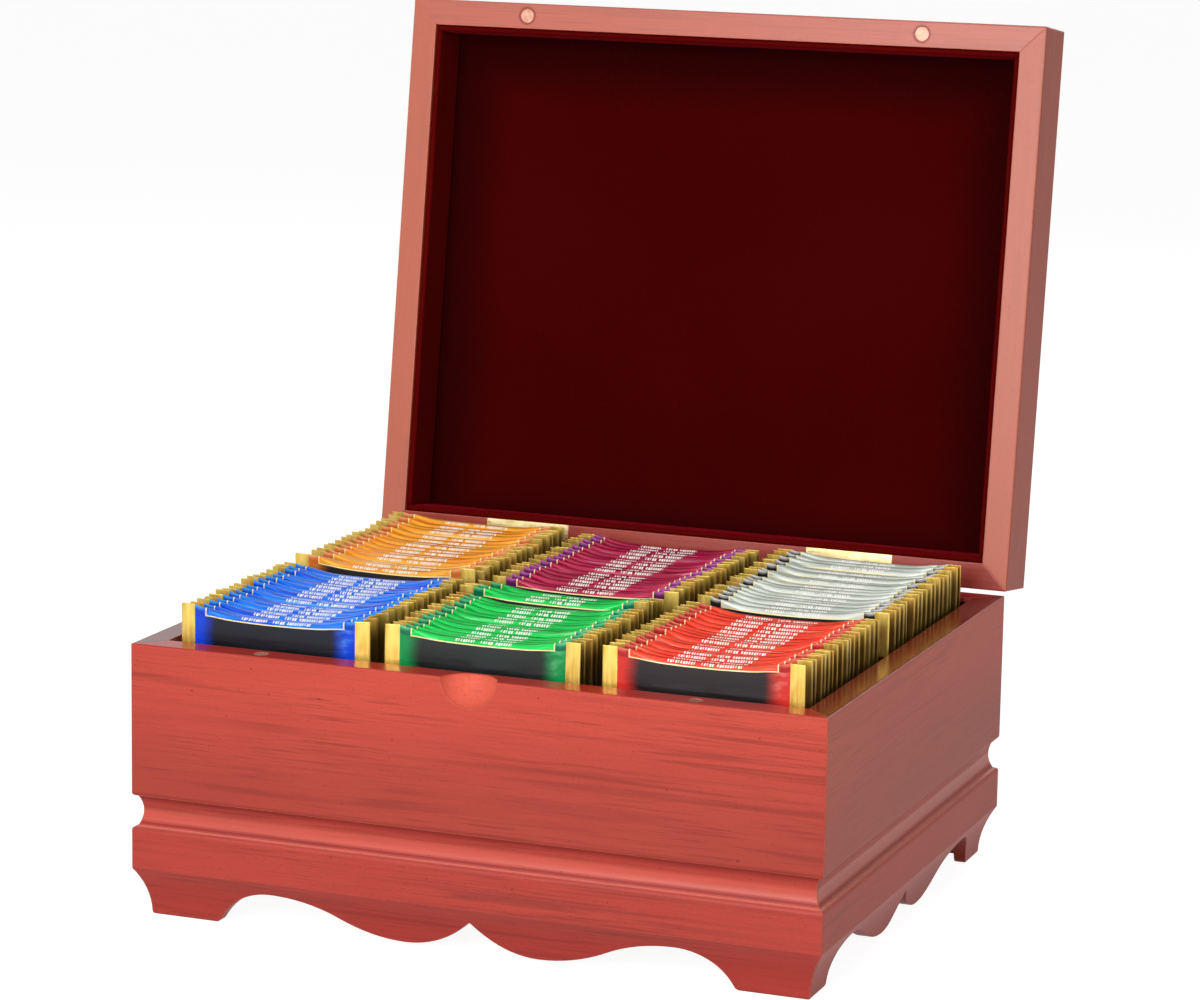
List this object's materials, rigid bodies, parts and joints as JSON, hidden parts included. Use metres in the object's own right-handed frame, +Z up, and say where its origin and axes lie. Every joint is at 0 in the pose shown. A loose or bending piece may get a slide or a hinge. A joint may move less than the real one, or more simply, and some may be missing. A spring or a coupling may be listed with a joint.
{
  "type": "wooden tea box",
  "caption": "Lacquered wooden tea box with a hinged lid, a scalloped bracket base, a velvet lining and compartments full of tea sachets.",
  "frame": {"origin": "on the surface it stands on, under the middle of the four feet", "axes": "+Z up, +X to the right as seen from the front, +Y to the back, where the lid is hinged"},
  "size_m": [0.3, 0.3135, 0.3615],
  "materials": {
    "lacquered_wood": "gloss",
    "bare_wood": "matte",
    "velvet": "matte",
    "hinge_brass": "satin",
    "screw_brass": "satin",
    "magnet_nickel": "satin",
    "blue_foil": "satin",
    "green_foil": "satin",
    "red_foil": "satin",
    "orange_foil": "satin",
    "wine_foil": "satin",
    "silver_foil": "satin"
  },
  "bodies": {
    "case": {"front_wall": "lacquered_wood", "front_base_moulding": "lacquered_wood", "front_lining": "velvet", "back_wall": "lacquered_wood", "back_base_moulding": "lacquered_wood", "back_lining": "velvet", "left_wall": "lacquered_wood", "left_base_moulding": "lacquered_wood", "left_lining": "velvet", "right_wall": "lacquered_wood", "right_base_moulding": "lacquered_wood", "right_lining": "velvet", "floor_panel": "bare_wood", "floor_lining": "velvet", "long_divider": "velvet", "left_divider": "velvet", "right_divider": "velvet", "left_hinge_box_leaf": "hinge_brass", "left_hinge_pin": "hinge_brass", "right_hinge_box_leaf": "hinge_brass", "right_hinge_pin": "hinge_brass", "hinge_box_screws": "screw_brass", "box_magnets": "magnet_nickel", "tea_sachets_front_left": "blue_foil", "tea_sachets_front_middle": "green_foil", "tea_sachets_front_right": "red_foil", "tea_sachets_rear_left": "orange_foil", "tea_sachets_rear_middle": "wine_foil", "tea_sachets_rear_right": "silver_foil"},
    "lid": {"lid_front_rail": "lacquered_wood", "lid_front_lining": "velvet", "lid_back_rail": "lacquered_wood", "lid_back_lining": "velvet", "lid_left_rail": "lacquered_wood", "lid_left_lining": "velvet", "lid_right_rail": "lacquered_wood", "lid_right_lining": "velvet", "lid_top_panel": "lacquered_wood", "lid_ceiling_lining": "velvet", "left_hinge_lid_leaf": "hinge_brass", "right_hinge_lid_leaf": "hinge_brass", "hinge_lid_screws": "screw_brass", "lid_magnets": "magnet_nickel"}
  },
  "joints": [
    {"name": "lid_hinge", "type": "hinge", "parent": "case", "child": "lid", "pos_m": [0, 0.1247, 0.11585], "axis": [1, 0, 0], "range_deg": [0, 98]}
  ]
}
